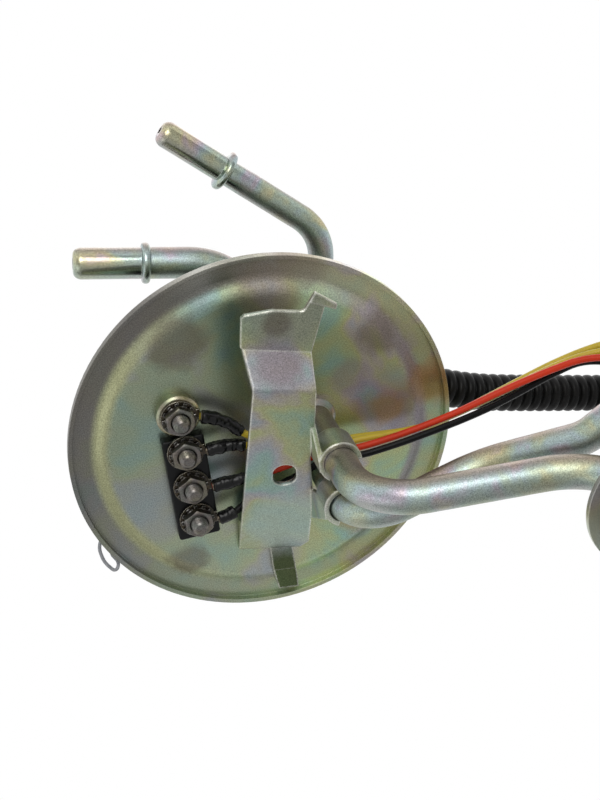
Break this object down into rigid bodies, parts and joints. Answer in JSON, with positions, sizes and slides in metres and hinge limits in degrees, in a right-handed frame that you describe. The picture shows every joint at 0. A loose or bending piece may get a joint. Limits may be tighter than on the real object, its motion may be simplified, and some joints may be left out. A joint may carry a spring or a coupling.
{
  "type": "fuel pump module",
  "caption": "Tank-mounted fuel pump module: round flange plate with feed and return tubes, terminals, in-tank pump, strainer and float level sender.",
  "frame": {"origin": "centre of the mounting plate, on the flat ring that seats on the tank", "axes": "+Z out of the tank along the plate's axis, so the pump hangs towards -Z; +X from the terminals towards the pump"},
  "size_m": [0.249, 0.1692, 0.2514],
  "materials": {
    "plated_steel": "yellow-zinc plate, satin",
    "bracket_steel": "yellow-zinc plate, satin",
    "tube_steel": "zinc plate, satin",
    "braze": "satin",
    "black_plastic": "satin",
    "gold_zinc": "satin",
    "bright_steel": "bright",
    "tinned_brass": "tinned",
    "sleeve_rubber": "matte",
    "yellow_insulation": "satin",
    "red_insulation": "satin",
    "black_insulation": "satin",
    "conduit_plastic": "ribbed",
    "clear_nylon": "translucent",
    "black_rubber": "matte",
    "can_steel": "drawn, satin",
    "white_acetal": "moulded",
    "spring_steel": "satin",
    "copper": "bright",
    "core_iron": "laminated",
    "magnet_ferrite": "matte",
    "carbon": "matte",
    "bronze": "sintered",
    "cast_aluminium": "cast",
    "filter_mesh": "woven nylon",
    "card_ceramic": "ceramic with printed track",
    "float_foam": "closed-cell foam"
  },
  "bodies": {
    "plate": {"mounting_plate": "plated_steel", "supply_tube": "tube_steel", "return_tube": "tube_steel", "braze_rings": "braze", "tube_bracket": "bracket_steel", "pump_bracket": "bracket_steel", "terminal_block": "black_plastic", "terminal_cover": "black_plastic", "harness_plug": "black_plastic", "pump_end_cap": "black_plastic", "ground_boss": "gold_zinc", "terminal_studs": "bright_steel", "star_washers": "bright_steel", "terminal_nuts": "bright_steel", "ring_terminals": "tinned_brass", "lead_sleeves": "sleeve_rubber", "yellow_lead": "yellow_insulation", "second_yellow_lead": "yellow_insulation", "red_lead": "red_insulation", "black_lead": "black_insulation", "harness_conduit": "conduit_plastic", "tag_loop": "clear_nylon", "supply_hose": "black_rubber", "pump_isolator": "black_rubber", "hose_clamps": "bright_steel", "pump_case": "can_steel", "pump_terminals": "tinned_brass", "valve_spring": "spring_steel", "valve_retainer": "tinned_brass", "magnets": "magnet_ferrite", "brushes": "carbon", "brush_springs": "spring_steel", "bearings": "bronze", "pump_body": "cast_aluminium", "inlet_cover": "cast_aluminium", "strainer_neck": "white_acetal", "strainer_sock": "filter_mesh", "sender_housing": "white_acetal", "resistor_card": "card_ceramic", "sender_rivets": "can_steel"},
    "rotor": {"rotor_shaft": "bright_steel", "commutator": "copper", "armature_core": "core_iron", "armature_windings": "copper", "impeller": "white_acetal"},
    "valve": {"valve_poppet": "white_acetal"},
    "float": {"float_arm": "spring_steel", "level_float": "float_foam", "float_clip": "spring_steel", "wiper": "tinned_brass"}
  },
  "joints": [
    {"name": "float_swing", "type": "hinge", "parent": "plate", "child": "float", "pos_m": [0.1045, -0.0059, -0.138], "axis": [1, 0, 0], "range_deg": [0, 66]},
    {"name": "rotor_spin", "type": "hinge", "parent": "plate", "child": "rotor", "pos_m": [0.083, -0.0059, -0.15], "axis": [0, 0, 1], "continuous": true},
    {"name": "valve_lift", "type": "slide", "parent": "plate", "child": "valve", "axis": [0, 0, 1], "range_m": [0, 0.0012], "deforming": ["valve_spring"]}
  ]
}
